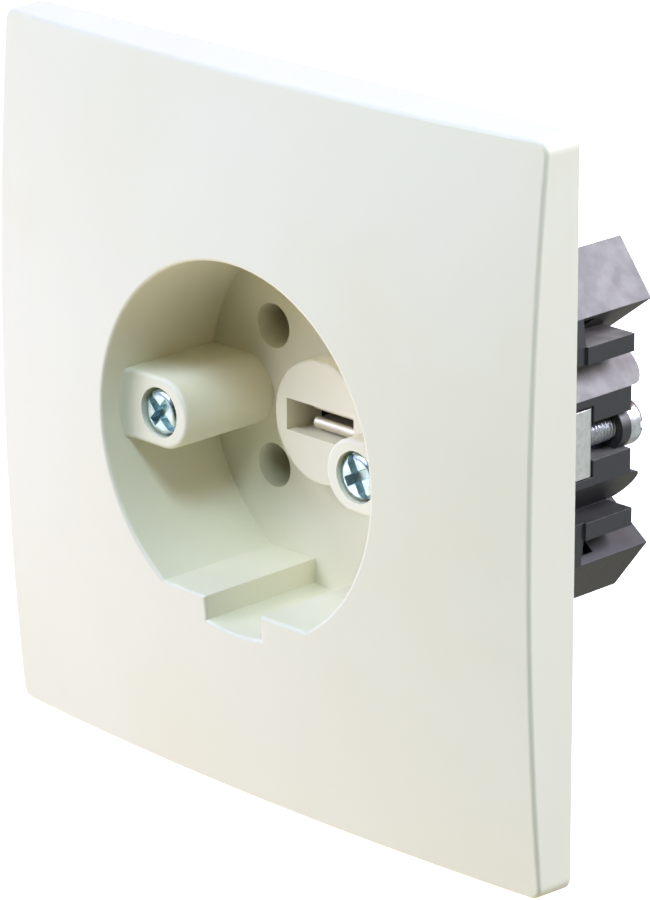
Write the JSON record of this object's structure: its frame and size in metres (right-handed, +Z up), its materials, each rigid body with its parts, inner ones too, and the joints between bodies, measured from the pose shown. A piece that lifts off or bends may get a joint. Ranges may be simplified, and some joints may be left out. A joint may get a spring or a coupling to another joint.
{
  "type": "three-phase wall socket",
  "caption": "Flush-mounted three-phase wall socket: a domed square cover plate with a round keyed plug well, pin contacts, an earth fork and a black insert on a support ring",
  "frame": {"origin": "on the socket's axis, in the plane of the finished wall, midway between the box screws", "axes": "+X right as seen from the room, +Y back into the wall, +Z up"},
  "size_m": [0.08, 0.0382, 0.08],
  "materials": {
    "cover_plastic": "satin warm white moulding",
    "insert_plastic": "matte black moulding",
    "sheet_zinc": "zinc plated sheet",
    "screw_zinc": "bright zinc",
    "contact_brass": "bare brass",
    "contact_nickel": "nickel plated",
    "spring_steel": "flat spring strip"
  },
  "bodies": {
    "root": {"cover": "cover_plastic", "cover_screws": "screw_zinc", "cover_screw_bushes": "contact_brass", "support_ring": "sheet_zinc", "insert_base": "insert_plastic", "contact_retainer": "insert_plastic", "retainer_screws": "screw_zinc", "insert_screws": "screw_zinc", "earth_contact": "contact_nickel", "line_contact_upper_right": "contact_brass", "line_contact_upper_left": "contact_brass", "line_contact_lower_left": "contact_brass", "line_contact_lower_right": "contact_brass", "contact_spring_upper_right": "spring_steel", "contact_spring_upper_left": "spring_steel", "contact_spring_lower_left": "spring_steel", "contact_spring_lower_right": "spring_steel", "terminal_saddle_upper_right": "sheet_zinc", "terminal_saddle_upper_left": "sheet_zinc", "terminal_saddle_lower_left": "sheet_zinc", "terminal_saddle_lower_right": "sheet_zinc", "terminal_saddle_earth": "sheet_zinc", "terminal_screws": "screw_zinc"}
  },
  "joints": []
}
